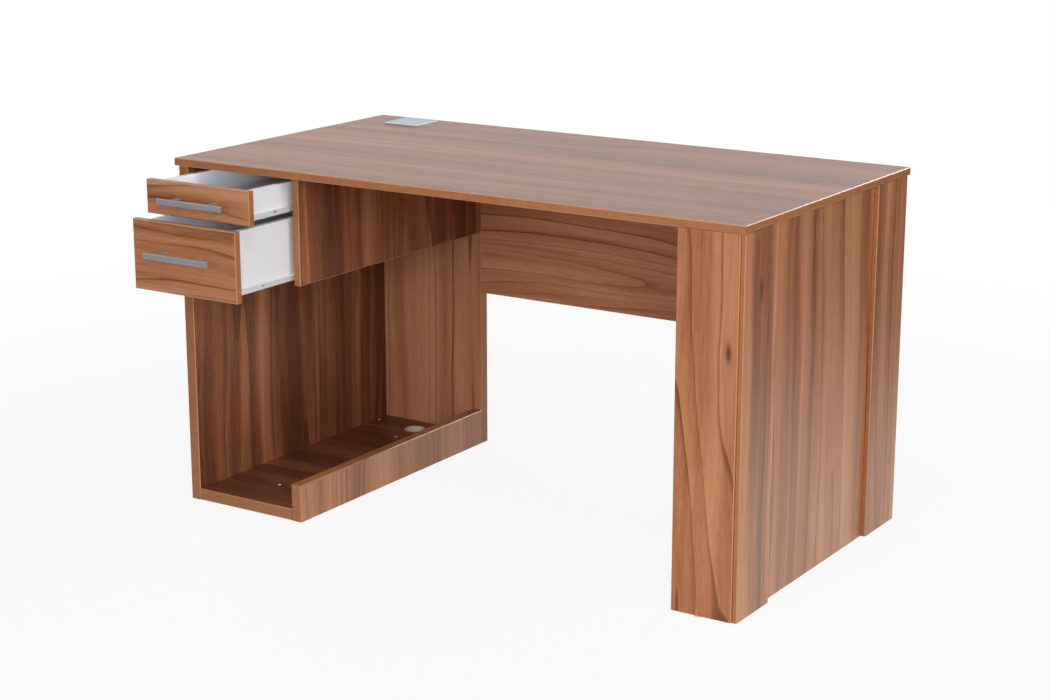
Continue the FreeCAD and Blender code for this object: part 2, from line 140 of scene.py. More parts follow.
class StudioSettings(bpy.types.PropertyGroup):
    """Floor, lamps and camera."""

    floor: colour_property("Floor", "Pale studio floor", (0.600, 0.600, 0.600))
    sheen: colour_property("Floor sheen", "The floor as the boards mirror it", (1.0, 0.95, 0.82))
    sky: colour_property("Backdrop sheen", "The backdrop as the boards mirror it", (0.94, 0.98, 1.0))
    ambient: share_property("Ambient light", "Level of the light from all round", 0.05)
    front_power: power_property("Front lamp", "Power of the low lamp in front", 30.0)
    fill_power: power_property("Fill lamp", "Power of the low lamp beside the camera", 72.0)
    key_power: power_property("Key lamp", "Power of the high lamp in front", 72.0)
    side_power: power_property("Side lamp", "Power of the low lamp on the right", 68.0)
    back_power: power_property("Back lamp", "Power of the lamp behind the desk", 66.0)
    left_power: power_property("Left lamp", "Power of the lamp behind on the left", 45.0)
    drawer_power: power_property("Drawer lamp", "Power of the low lamp for the drawers' insides", 210.0)
    drawer_tint: colour_property("Drawer tint", "Cool light of the drawer lamp", (0.76, 0.79, 1.0))
    lens: FloatProperty(name="Lens", description="Focal length in millimetres on a 36 mm wide sensor",
                        default=74.0)
    eye: FloatVectorProperty(name="Camera place", description="Where the camera stands", subtype="XYZ",
                             unit="LENGTH", default=(2.361, -3.5975, 1.497))
    azimuth: FloatProperty(name="Azimuth", description="Turn of the view from straight ahead",
                           subtype="ANGLE", default=math.radians(32.93))
    tilt: FloatProperty(name="Tilt", description="How far the camera looks down", subtype="ANGLE",
                        default=math.radians(14.64))


# Node helpers

MIX_FIRST, MIX_SECOND, MIX_RESULT = 6, 7, 2  # the colour sockets of a Mix node
WHITE = (1.0, 1.0, 1.0, 1.0)


def add_node(tree, kind, options=None, inputs=None):
    """Adds a node, sets its options, and fills its inputs with values or links."""
    made = tree.nodes.new(kind)
    for option, value in (options or {}).items():
        setattr(made, option, value)
    for key, value in (inputs or {}).items():
        if isinstance(value, bpy.types.NodeSocket):
            tree.links.new(value, made.inputs[key])
        else:
            made.inputs[key].default_value = value
    return made


def feed(tree, node, **links):
    """Links values into a node's inputs; an underscore in a name stands for a space."""
    for socket, value in links.items():
        tree.links.new(value, node.inputs[socket.replace("_", " ")])


def calc(tree, operation, *values):
    made = add_node(tree, "ShaderNodeMath", {"operation": operation}, dict(enumerate(values)))
    return made.outputs[0]


def vector_calc(tree, operation, *values):
    made = add_node(tree, "ShaderNodeVectorMath", {"operation": operation}, dict(enumerate(values)))
    return made.outputs[0]


def measure(tree, operation, *vectors):
    """A number from vectors, such as a length or a dot product."""
    made = add_node(tree, "ShaderNodeVectorMath", {"operation": operation}, dict(enumerate(vectors)))
    return made.outputs["Value"]


def scaled(tree, vector, factor):
    made = add_node(tree, "ShaderNodeVectorMath", {"operation": "SCALE"}, {0: vector, "Scale": factor})
    return made.outputs[0]


def axes_of(tree, vector):
    return add_node(tree, "ShaderNodeSeparateXYZ", None, {0: vector}).outputs


def combine(tree, x=0.0, y=0.0, z=0.0):
    return add_node(tree, "ShaderNodeCombineXYZ", None, {0: x, 1: y, 2: z}).outputs[0]


def remap(tree, value, low, high, new_low=0.0, new_high=1.0, smooth=False):
    """Takes the stretch from low to high to the stretch from new_low to new_high."""
    kind = "SMOOTHSTEP" if smooth else "LINEAR"
    made = add_node(tree, "ShaderNodeMapRange", {"interpolation_type": kind}, {
        "Value": value, "From Min": low, "From Max": high, "To Min": new_low, "To Max": new_high})
    return made.outputs[0]


def noise(tree, vector, scale, detail=2.0, roughness=0.5, output="Fac"):
    made = add_node(tree, "ShaderNodeTexNoise", None, {
        "Vector": vector, "Scale": scale, "Detail": detail, "Roughness": roughness})
    return made.outputs[output]


def opaque(colour):
    return (*colour, 1.0)


def mix(tree, factor, first, second):
    made = add_node(tree, "ShaderNodeMix", {"data_type": "RGBA"}, {
        "Factor": factor, MIX_FIRST: first, MIX_SECOND: second})
    return made.outputs[MIX_RESULT]


def ramp(tree, factor, stops):
    """A colour ramp through (place, colour) stops."""
    made = add_node(tree, "ShaderNodeValToRGB", None, {"Fac": factor})
    elements = made.color_ramp.elements
    elements[0].position, elements[0].color = stops[0][0], opaque(stops[0][1])
    elements[1].position, elements[1].color = stops[-1][0], opaque(stops[-1][1])
    for place, colour in stops[1:-1]:
        elements.new(place).color = opaque(colour)
    return made.outputs["Color"]


def spread(tree, pattern, low, high, reach=0.2):
    """Takes the middle of a noise pattern, reach to either side of a half, to low and high."""
    return remap(tree, pattern, 0.5 - reach, 0.5 + reach, low, high)


def shaded(tree, pattern, colour, darkest, reach=0.2):
    """The colour, darkened to a share of itself where the noise pattern is low."""
    return ramp(tree, pattern, [(0.5 - reach, [darkest * c for c in colour]), (0.5 + reach, colour)])


def bump(tree, height, distance, strength):
    made = add_node(tree, "ShaderNodeBump", None, {
        "Height": height, "Distance": distance, "Strength": strength})
    return made.outputs["Normal"]


def place_on_object(tree):
    return add_node(tree, "ShaderNodeTexCoord").outputs["Object"]


def facing_on_object(tree):
    return add_node(tree, "ShaderNodeTexCoord").outputs["Normal"]


def new_material(name, **constants):
    """A material with its shader's constant sockets set; returns it with its tree and shader."""
    material = bpy.data.materials.new(name)
    material.use_nodes = True
    shader = material.node_tree.nodes["Principled BSDF"]
    for socket, value in constants.items():
        shader.inputs[socket.replace("_", " ")].default_value = value
    return material, material.node_tree, shader


def give(material, *names):
    """Puts the material on the named CAD nodes."""
    for name in names:
        slots = nodes[name].data.materials
        slots.clear()
        slots.append(material)


# Walnut foil

GRAIN_ORDER = {"X": (1, 2, 0), "Z": (0, 1, 2)}

# Each board's grain axis, its stretch of the figure, its lightness and how else its figure differs; the
# lightness is partly the foil's own tone and partly painted light and shade, set for how brightly each
# board is lit; a knot is placed by shares of the board's box
BOARDS = {
    "desktop": ("X", 11, 0.26, {"fineness": 0.5, "contrast": 0.55, "ior": 1.60}),
    "left_side_panel": ("Z", 1, 0.18, {"contrast": 1.15}),
    "pedestal_back": ("Z", 111, 0.74, {}),
    "drawer_housing_panel": ("Z", 3, 0.17, {}),
    "leg_side_panel": ("Z", 106, 0.46, {"contrast": 0.90, "ior": 1.60}),
    "tray_lip": ("Z", 228, 0.63, {"ior": 1.50}),
    "leg_rear_plank": ("Z", 6, 0.48, {"contrast": 0.85, "ior": 1.60}),
    "leg_front_panel": ("Z", 114, 0.64, {"arch": 0.036, "fineness": 0.9, "knot": (0.87, 0.0, 0.70)}),
    "leg_front_plank": ("Z", 9, 0.44, {"arch": 0.030, "fineness": 1.0, "contrast": 0.90,
                                       "knot": (1.0, 0.5, 0.85), "ior": 1.60}),
    "modesty_panel": ("X", 67, 0.70, {"arch": 0.050, "fineness": 1.0, "contrast": 1.1,
                                      "knot": (0.62, 0.0, 0.34)}),
    "upper_drawer_front": ("X", 81, 0.58, {"arch": 0.09, "fineness": 1.0}),
    "lower_drawer_front": ("X", 42, 0.58, {"arch": 0.09, "fineness": 1.0}),
    "tray_board": ("X", 16, 0.03, {"ior": 1.45}),
}
# Painted light: the left panel's outer face is drawn lighter than its shaded face in the bay
OUTER_PAINTED_LIGHT = 0.42  # of the left panel's outer face
STRETCH_STEP = (0.613, 0.377, 0.291)  # from one stretch of the figure to the next, in metres
FAR_KNOT = (0.0, 0.0, 50.0)  # where a board without a knot has it, out of reach

# Noise scales of the figure per metre, and the shares by which patterns are drawn out along the grain
WANDER_SCALE, WANDER_SHARE = 4.6, 0.34
LAYER_SCALE = 8.5
PATCH_SCALE = 13.0
STREAK_SCALE = 230.0
FIBRE_SCALE, FIBRE_SHARE = 420.0, 0.06
PORE_SCALE, PORE_SHARE = 1150.0, 0.03
BAND_SHARE = 0.035

# How far and how strongly each part of the figure works
KNOT_TIGHTNESS = (70.0, 70.0, 22.0)
KNOT_PUSH, HEART_TIGHTNESS, HEART_DEPTH = 0.72, 5.0, 0.85
WANDER_REACH = (0.05, 0.05, 0.0)
LAYER_COUNT = 15.0
STREAK_DEPTH, FIBRE_DEPTH, SHADE_DEPTH, SLOPE_DEPTH = 0.40, 0.30, 0.24, 0.16
PORE_DEPTH, PORE_ROUGHNESS = 0.30, 0.14

# The stretches of its pattern that each part of the figure uses, and the places of the four colours
BAND_RANGE, BAND_TONES = (0.30, 0.70), (-0.36, 0.30)
SLOPE_START = 0.25
LINE_START, LINE_DARKEST, LINE_END = 0.84, 0.97, 0.98
PATCH_RANGE, DASH_RANGE = (0.40, 0.62), (0.56, 0.70)
COLOUR_PLACES = (0.02, 0.30, 0.56, 0.97)

HOLE_REACH = 0.027  # half of the strip across the tray that holds the cable hole


def drawn_out(tree, vector, share):
    """Shortens the grain's axis to a share, which draws a pattern out along the grain."""
    return vector_calc(tree, "MULTIPLY", vector, (1.0, 1.0, share))


def part_round_knot(tree, place, knot):
    """Parts the figure round a knot; returns its new place and how near the knot is."""
    away = vector_calc(tree, "SUBTRACT", place, knot)
    reach = vector_calc(tree, "MULTIPLY", away, KNOT_TIGHTNESS)
    square = measure(tree, "DOT_PRODUCT", reach, reach)
    near = calc(tree, "POWER", math.e, calc(tree, "MULTIPLY", square, -1.0))
    sideways = vector_calc(tree, "MULTIPLY", away, (1.0, 1.0, 0.0))
    push = scaled(tree, sideways, calc(tree, "MULTIPLY", near, KNOT_PUSH))
    return vector_calc(tree, "SUBTRACT", place, push), near


def wander(tree, place):
    """Lets the grain drift slowly from side to side."""
    slow = noise(tree, drawn_out(tree, place, WANDER_SHARE), WANDER_SCALE, detail=1.5, output="Color")
    drift = vector_calc(tree, "SUBTRACT", slow, (0.5, 0.5, 0.5))
    return vector_calc(tree, "ADD", place, vector_calc(tree, "MULTIPLY", drift, WANDER_REACH))


def growth_layers(tree, broad, arch):
    """Growth layers: the place within a layer, from 0 to 1, and the layer's own shade."""
    squeezed = vector_calc(tree, "MULTIPLY", broad, combine(tree, 1.0, 1.0, arch))
    layers = calc(tree, "MULTIPLY", noise(tree, squeezed, LAYER_SCALE, detail=0.6), LAYER_COUNT)
    shade = add_node(tree, "ShaderNodeTexWhiteNoise", {"noise_dimensions": "1D"},
                     {"W": calc(tree, "FLOOR", layers)}).outputs["Value"]
    return calc(tree, "FRACT", layers), shade


def ring_lines(tree, within, long_grain):
    """The sharp dark line that ends a growth layer, broken into patches."""
    rise = remap(tree, within, LINE_START, LINE_DARKEST, smooth=True)
    line = calc(tree, "MULTIPLY", rise, remap(tree, within, 1.0, LINE_END))
    patches = remap(tree, noise(tree, long_grain, PATCH_SCALE, detail=1.0), *PATCH_RANGE)
    return calc(tree, "MULTIPLY", line, patches)


def walnut_group(settings):
    """The foil's figure in grain space: the third axis runs along the grain."""
    tree = bpy.data.node_groups.new("walnut_foil", "ShaderNodeTree")
    for name in ("Vector", "Knot"):
        tree.interface.new_socket(name, in_out="INPUT", socket_type="NodeSocketVector")
    for name in ("Arch", "Fineness", "Contrast", "Lightness"):
        tree.interface.new_socket(name, in_out="INPUT", socket_type="NodeSocketFloat")
    tree.interface.new_socket("Color", in_out="OUTPUT", socket_type="NodeSocketColor")
    for name in ("Roughness", "Height"):
        tree.interface.new_socket(name, in_out="OUTPUT", socket_type="NodeSocketFloat")
    given = tree.nodes.new("NodeGroupInput").outputs

    parted, near = part_round_knot(tree, given["Vector"], given["Knot"])
    grain = wander(tree, parted)
    long_grain = drawn_out(tree, grain, BAND_SHARE)
    broad = scaled(tree, grain, given["Fineness"])
    bands = noise(tree, drawn_out(tree, broad, BAND_SHARE), 1.0 / settings.band_width, roughness=0.55)
    streaks = noise(tree, long_grain, STREAK_SCALE, detail=3.0, roughness=0.65)
    fibres = noise(tree, drawn_out(tree, grain, FIBRE_SHARE), FIBRE_SCALE, detail=1.0)
    within, shade = growth_layers(tree, broad, given["Arch"])
    slope = remap(tree, within, SLOPE_START, 1.0, 0.5, -0.5)

    tone = remap(tree, bands, *BAND_RANGE, *BAND_TONES)
    for part, middle, depth in ((streaks, 0.5, STREAK_DEPTH), (fibres, 0.5, FIBRE_DEPTH),
                                (shade, 0.5, SHADE_DEPTH), (slope, 0.0, SLOPE_DEPTH)):
        offset = calc(tree, "SUBTRACT", part, middle)
        tone = calc(tree, "ADD", tone, calc(tree, "MULTIPLY", offset, depth))
    # The board's lightness, partly its own tone and partly painted light and shade, lifts the whole tone
    tone = calc(tree, "MULTIPLY_ADD", tone, given["Contrast"], given["Lightness"])
    colours = (settings.dark, settings.brown, settings.reddish, settings.light)
    colour = ramp(tree, tone, list(zip(COLOUR_PLACES, colours)))
    line = calc(tree, "MULTIPLY", ring_lines(tree, within, long_grain), settings.ring_depth)
    colour = mix(tree, line, colour, opaque(settings.dark))

    # Pores are short fine dashes along the grain
    pores = noise(tree, drawn_out(tree, grain, PORE_SHARE), PORE_SCALE, detail=1.5)
    dash = remap(tree, pores, *DASH_RANGE, smooth=True)
    colour = mix(tree, calc(tree, "MULTIPLY", dash, PORE_DEPTH), colour, opaque(settings.brown))
    heart = calc(tree, "POWER", near, HEART_TIGHTNESS)
    colour = mix(tree, calc(tree, "MULTIPLY", heart, HEART_DEPTH), colour, opaque(settings.knot))

    roughness = calc(tree, "ADD", calc(tree, "MULTIPLY", dash, PORE_ROUGHNESS), settings.gloss)
    height = calc(tree, "MULTIPLY", dash, -1.0)
    add_node(tree, "NodeGroupOutput", None, {"Color": colour, "Roughness": roughness, "Height": height})
    return tree


def in_grain_space(point, along, shift):
    return tuple(point[axis] + shift[k] for k, axis in enumerate(GRAIN_ORDER[along]))


def walnut_material(group, name, along, number, tone_and_painted_light, arch=0.026, fineness=0.75, contrast=1.0,
                    knot=None, ior=1.22):
    """Foil for one board: along is the grain's axis, number picks the board's stretch of the figure."""
    material, tree, shader = new_material("walnut_" + name, IOR=ior)
    axes = axes_of(tree, place_on_object(tree))
    turned = combine(tree, *(axes[axis] for axis in GRAIN_ORDER[along]))
    shift = tuple(step * number for step in STRETCH_STEP)
    foil = add_node(tree, "ShaderNodeGroup", {"node_tree": group}, {
        "Vector": vector_calc(tree, "ADD", turned, shift), "Arch": arch, "Fineness": fineness,
        "Contrast": contrast, "Lightness": tone_and_painted_light,
        "Knot": in_grain_space(knot, along, shift) if knot else FAR_KNOT})
    feed(tree, shader, Base_Color=foil.outputs["Color"], Roughness=foil.outputs["Roughness"],
         Normal=bump(tree, foil.outputs["Height"], distance=0.00006, strength=0.5))
    return material


class DESK_OT_walnut_boards(bpy.types.Operator):
    """Put the walnut foil on every board, with its grain the right way"""

    bl_idname = "desk.walnut_boards"
    bl_label = "Walnut Boards"

    def execute(self, context):
        group = walnut_group(context.scene.desk_walnut)
        for name, (along, number, tone_and_painted_light, differences) in BOARDS.items():
            options = dict(differences)
            if "knot" in options:
                options["knot"] = self.knot_place(name, options["knot"])
            give(walnut_material(group, name, along, number, tone_and_painted_light, **options), name)
        self.paint_light_on_left_panel()
        self.tray(context.scene.desk_drawers.raw_board)
        return {"FINISHED"}

    def knot_place(self, name, shares):
        low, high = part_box(name)
        return [low[k] + share * (high[k] - low[k]) for k, share in enumerate(shares)]

    def paint_light_on_left_panel(self):
        """Paints light on the left panel: its outer face, turned away from the shaded bay, is drawn
        lighter than its face in the bay.
        """
        tree = nodes["left_side_panel"].data.materials[0].node_tree
        foil = next(made for made in tree.nodes if made.type == "GROUP")
        tone_and_painted_light = foil.inputs["Lightness"]
        sideways = axes_of(tree, facing_on_object(tree))[0]
        # Painted light and shade: the lightness follows which way the face looks, lighter outside, darker
        # in the bay
        painted_light_by_side = remap(tree, sideways, -1.0, 1.0, OUTER_PAINTED_LIGHT, tone_and_painted_light.default_value)
        tree.links.new(painted_light_by_side, tone_and_painted_light)

    def tray(self, raw_board):
        """The tray's foil stops at the cable hole, whose wall is raw board."""
        tree = nodes["tray_board"].data.materials[0].node_tree
        shader = tree.nodes["Principled BSDF"]
        foil = shader.inputs["Base Color"].links[0].from_socket
        upward = axes_of(tree, facing_on_object(tree))[2]
        upright = calc(tree, "LESS_THAN", calc(tree, "ABSOLUTE", upward), 0.5)
        low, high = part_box("tray_board")
        place = place_on_object(tree)
        off_middle = calc(tree, "SUBTRACT", axes_of(tree, place)[0], (low.x + high.x) / 2)
        by_hole = calc(tree, "LESS_THAN", calc(tree, "ABSOLUTE", off_middle), HOLE_REACH)
        chips = noise(tree, place, scale=700.0, detail=3.0, roughness=0.7)
        wall = calc(tree, "MULTIPLY", upright, by_hole)
        board = shaded(tree, chips, raw_board, darkest=0.6)
        feed(tree, shader, Base_Color=mix(tree, wall, foil, board))


# Edging and drawer boards

FLAT_FACING = 0.9  # a face is flat if this much of its direction lies along one axis
# The bevel's lower roughness sharpens the real highlight on it; its paler colour is a painted highlight
BEVEL_POLISH = -0.12  # what the scraping takes from the bevel's roughness


class DESK_OT_edging(bpy.types.Operator):
    """Put the plain brown edging on every strip, with a painted highlight in a paler colour along its
    bevel
    """

    bl_idname = "desk.edging"
    bl_label = "Edging Strips"

    def execute(self, context):
        settings = context.scene.desk_edging
        material, tree, shader = new_material("edging", IOR=1.36)
        place = place_on_object(tree)
        mottle = noise(tree, place, scale=55.0, detail=3.0, roughness=0.6)
        grit = noise(tree, place, scale=900.0)
        face = shaded(tree, mottle, settings.strip, darkest=0.82)
        rough = spread(tree, grit, low=0.28, high=0.38)
        bevel = self.bevel_highlight_mask(tree)
        # Painted highlight: the slanting bevel faces take the paler bevel colour
        feed(tree, shader, Base_Color=mix(tree, bevel, face, opaque(settings.bevel)),
             Roughness=calc(tree, "MULTIPLY_ADD", bevel, BEVEL_POLISH, rough),
             Normal=bump(tree, grit, distance=0.00004, strength=0.4))
        give(material, "desktop_edging", "pedestal_edging", "leg_edging",
             *(level + "_drawer_front_edging" for level in DRAWERS))
        return {"FINISHED"}

    def bevel_highlight_mask(self, tree):
        """1 on the slanting faces of a strip, 0 on its flat ones."""
        axes = axes_of(tree, vector_calc(tree, "ABSOLUTE", facing_on_object(tree)))
        largest = calc(tree, "MAXIMUM", calc(tree, "MAXIMUM", axes[0], axes[1]), axes[2])
        return calc(tree, "LESS_THAN", largest, FLAT_FACING)


class DESK_OT_drawer_boxes(bpy.types.Operator):
    """Put the white coating on the drawer sides, backs and bottoms"""

    bl_idname = "desk.drawer_boxes"
    bl_label = "Drawer Boxes"

    def execute(self, context):
        white = context.scene.desk_drawers.white
        material, tree, shader = new_material("white_foil", IOR=1.48)
        place = place_on_object(tree)
        cloud = noise(tree, place, scale=6.0)
        grain = noise(tree, place, scale=1400.0)
        feed(tree, shader, Base_Color=shaded(tree, cloud, white, darkest=0.95),
             Roughness=spread(tree, grain, low=0.38, high=0.50),
             Normal=bump(tree, grain, distance=0.00005, strength=0.35))
        for level in DRAWERS:
            for part in ("side_left", "side_right", "back", "bottom"):
                give(material, "%s_drawer_%s" % (level, part))
        return {"FINISHED"}


# Metal and plastic finishes

def brushed_material(name, colour, roughness, stretch, metallic=1.0):
    """Satin metal with fine marks along one axis."""
    material, tree, shader = new_material(name, Metallic=metallic)
    place = vector_calc(tree, "MULTIPLY", place_on_object(tree), stretch)
    marks = noise(tree, place, scale=900.0, detail=3.0, roughness=0.6)
    feed(tree, shader, Base_Color=shaded(tree, marks, colour, darkest=0.86, reach=0.25),
         Roughness=spread(tree, marks, low=roughness - 0.06, high=roughness + 0.08, reach=0.25),
         Normal=bump(tree, marks, distance=0.00003, strength=0.4))
    return material


def moulded_material(name, colour, roughness, peel_scale):
    """Paint or plastic with a faint orange-peel surface."""
    material, tree, shader = new_material(name, IOR=1.49)
    place = place_on_object(tree)
    peel = noise(tree, place, peel_scale)
    patches = noise(tree, place, scale=25.0)
    feed(tree, shader, Base_Color=shaded(tree, patches, colour, darkest=0.93),
         Roughness=spread(tree, peel, low=roughness - 0.05, high=roughness + 0.06),
         Normal=bump(tree, peel, distance=0.00005, strength=0.4))
    return material


def finish_of(name, settings):
    """A shared metal or plastic finish, made once."""
    made = bpy.data.materials.get(name)
    if made:
        return made
    if name == "zinc_steel":
        return brushed_material(name, settings.steel, roughness=0.34, stretch=(1.0, 1.0, 1.0))
    if name == "white_rail":
        return moulded_material(name, settings.rail, roughness=0.34, peel_scale=900.0)
    return moulded_material("nylon", settings.nylon, roughness=0.42, peel_scale=1300.0)


# Fittings made with geometry nodes

CAP_FACETS, HEAD_FACETS, SHANK_FACETS, ROLLER_FACETS = 28, 24, 16, 48

# Shares of a screw cap's radius and height, and of a screw head's radius
CAP_SHOULDER, CAP_CROWN, CAP_SKIRT = 0.82, 0.30, 0.6
HEAD_TOP, SLOT_LENGTH, SLOT_WIDTH, SHANK_RADIUS = 0.72, 1.05, 0.26, 0.5

# Shares of a roller's radius, and the angles that draw its rounded rim
ROLLER_BORE, ROLLER_HUB, ROLLER_RIM = 0.33, 0.50, 0.86
ROUNDING_TURNS = [math.radians(angle) for angle in (0, 30, 60, 90)]
SHARP_EDGE = math.radians(40)
MERGE_DISTANCE = 1e-6

# Places of the screws: a cabinet rail's sheet and the distances from its ends
RAIL_SHEET, FROM_FRONT, FROM_BACK = 0.0012, 0.090, 0.060
PLAIN_HEAD = 0.001  # height of the plain heads on the drawer rails, whose seats the finer heads take

# Places of the tray's caps: shares of its depth, and the last one's distance from the side panel
CAP_FRONT, CAP_REAR, CAP_CORNER, CAP_FROM_PANEL = 0.167, 0.80, 0.937, 0.009


def node_tree(name, inputs):
    """A geometry tree with the given inputs; returns it with its input and output nodes' sockets."""
    tree = bpy.data.node_groups.new(name, "GeometryNodeTree")
    tree.interface.new_socket("Geometry", in_out="INPUT", socket_type="NodeSocketGeometry")
    for label, kind in inputs.items():
        tree.interface.new_socket(label, in_out="INPUT", socket_type="NodeSocket" + kind)
    tree.interface.new_socket("Geometry", in_out="OUTPUT", socket_type="NodeSocketGeometry")
    return tree, tree.nodes.new("NodeGroupInput").outputs, tree.nodes.new("NodeGroupOutput").inputs


def spread_on_points(tree, given, result, *parts):
    """Puts the joined parts on each given point, turned as asked, as real mesh with its material."""
    joined = add_node(tree, "GeometryNodeJoinGeometry")
    for part in parts:
        tree.links.new(part, joined.inputs[0])
    placed = add_node(tree, "GeometryNodeInstanceOnPoints", None, {
        "Points": given["Geometry"], "Instance": joined.outputs[0], "Rotation": given["Turn"]})
    real = add_node(tree, "GeometryNodeRealizeInstances", None, {0: placed.outputs[0]})
    coated = add_node(tree, "GeometryNodeSetMaterial", None, {
        0: real.outputs[0], "Material": given["Material"]})
    tree.links.new(coated.outputs[0], result[0])


def moved(tree, geometry, **changes):
    return add_node(tree, "GeometryNodeTransform", None, {"Geometry": geometry, **changes}).outputs[0]


def cone(tree, facets, bottom, top, depth):
    made = add_node(tree, "GeometryNodeMeshCone", None, {
        "Vertices": facets, "Radius Top": top, "Radius Bottom": bottom, "Depth": depth})
    return made.outputs["Mesh"]


def cap_tree():
    """Low domed screw caps."""
    tree, given, result = node_tree("screw_cap", {
        "Radius": "Float", "Height": "Float", "Turn": "Rotation", "Material": "Material"})
    radius, height = given["Radius"], given["Height"]
    shoulder = calc(tree, "MULTIPLY", radius, CAP_SHOULDER)
    skirt_height = calc(tree, "MULTIPLY", height, CAP_SKIRT)
    skirt = cone(tree, CAP_FACETS, radius, shoulder, skirt_height)
    crown = cone(tree, CAP_FACETS, shoulder, calc(tree, "MULTIPLY", radius, CAP_CROWN),
                 calc(tree, "MULTIPLY", height, 1.0 - CAP_SKIRT))
    lifted = moved(tree, crown, Translation=combine(tree, z=skirt_height))
    spread_on_points(tree, given, result, lifted, skirt)
    return tree


def screw_tree():
    """Cross-head screws: the head stands along +Z of the turned point, the shank goes the other way."""
    tree, given, result = node_tree("cross_screw", {
        "Radius": "Float", "Height": "Float", "Shank": "Float", "Turn": "Rotation",
        "Material": "Material"})
    radius, height, length = given["Radius"], given["Height"], given["Shank"]
    head = cone(tree, HEAD_FACETS, radius, calc(tree, "MULTIPLY", radius, HEAD_TOP), height)
    bar = combine(tree, calc(tree, "MULTIPLY", radius, SLOT_LENGTH),
                  calc(tree, "MULTIPLY", radius, SLOT_WIDTH), height)
    block = add_node(tree, "GeometryNodeMeshCube", None, {"Size": bar}).outputs["Mesh"]
    slot = moved(tree, block, Translation=combine(tree, z=height))
    across = moved(tree, slot, Rotation=(0.0, 0.0, math.radians(90.0)))
    cut = add_node(tree, "GeometryNodeMeshBoolean", {"operation": "DIFFERENCE"}, {"Mesh 1": head})
    for cutter in (slot, across):
        tree.links.new(cutter, cut.inputs["Mesh 2"])
    shank = add_node(tree, "GeometryNodeMeshCylinder", None, {
        "Vertices": SHANK_FACETS, "Radius": calc(tree, "MULTIPLY", radius, SHANK_RADIUS),
        "Depth": length}).outputs["Mesh"]
    lowered = moved(tree, shank, Translation=combine(tree, z=calc(tree, "MULTIPLY", length, -0.5)))
    spread_on_points(tree, given, result, lowered, cut.outputs["Mesh"])
    return tree


def fitted(name, tree, points, body, slot, material, **values):
    """Runs the tree on a cloud of points and keeps the result as a plain mesh that rides on a body."""
    cloud = bpy.data.meshes.new(name)
    cloud.from_pydata([tuple(point) for point in points], [], [])
    piece = bpy.data.objects.new(name, cloud)
    bpy.context.scene.collection.objects.link(piece)
    modifier = piece.modifiers.new("fittings", "NODES")
    modifier.node_group = tree
    wanted = {"Material": material, **values}
    for socket in tree.interface.items_tree:
        if socket.in_out == "INPUT" and socket.name in wanted:
            modifier[socket.identifier] = wanted[socket.name]
    graph = bpy.context.evaluated_depsgraph_get()
    mesh = bpy.data.meshes.new_from_object(piece.evaluated_get(graph))
    piece.modifiers.clear()
    piece.data = mesh
    mesh.name = name
    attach(piece, body)
    return piece


def toward(direction):
    """The turn that stands a fitting's +Z along a direction."""
    return tuple(Vector((0, 0, 1)).rotation_difference(Vector(direction)).to_euler())


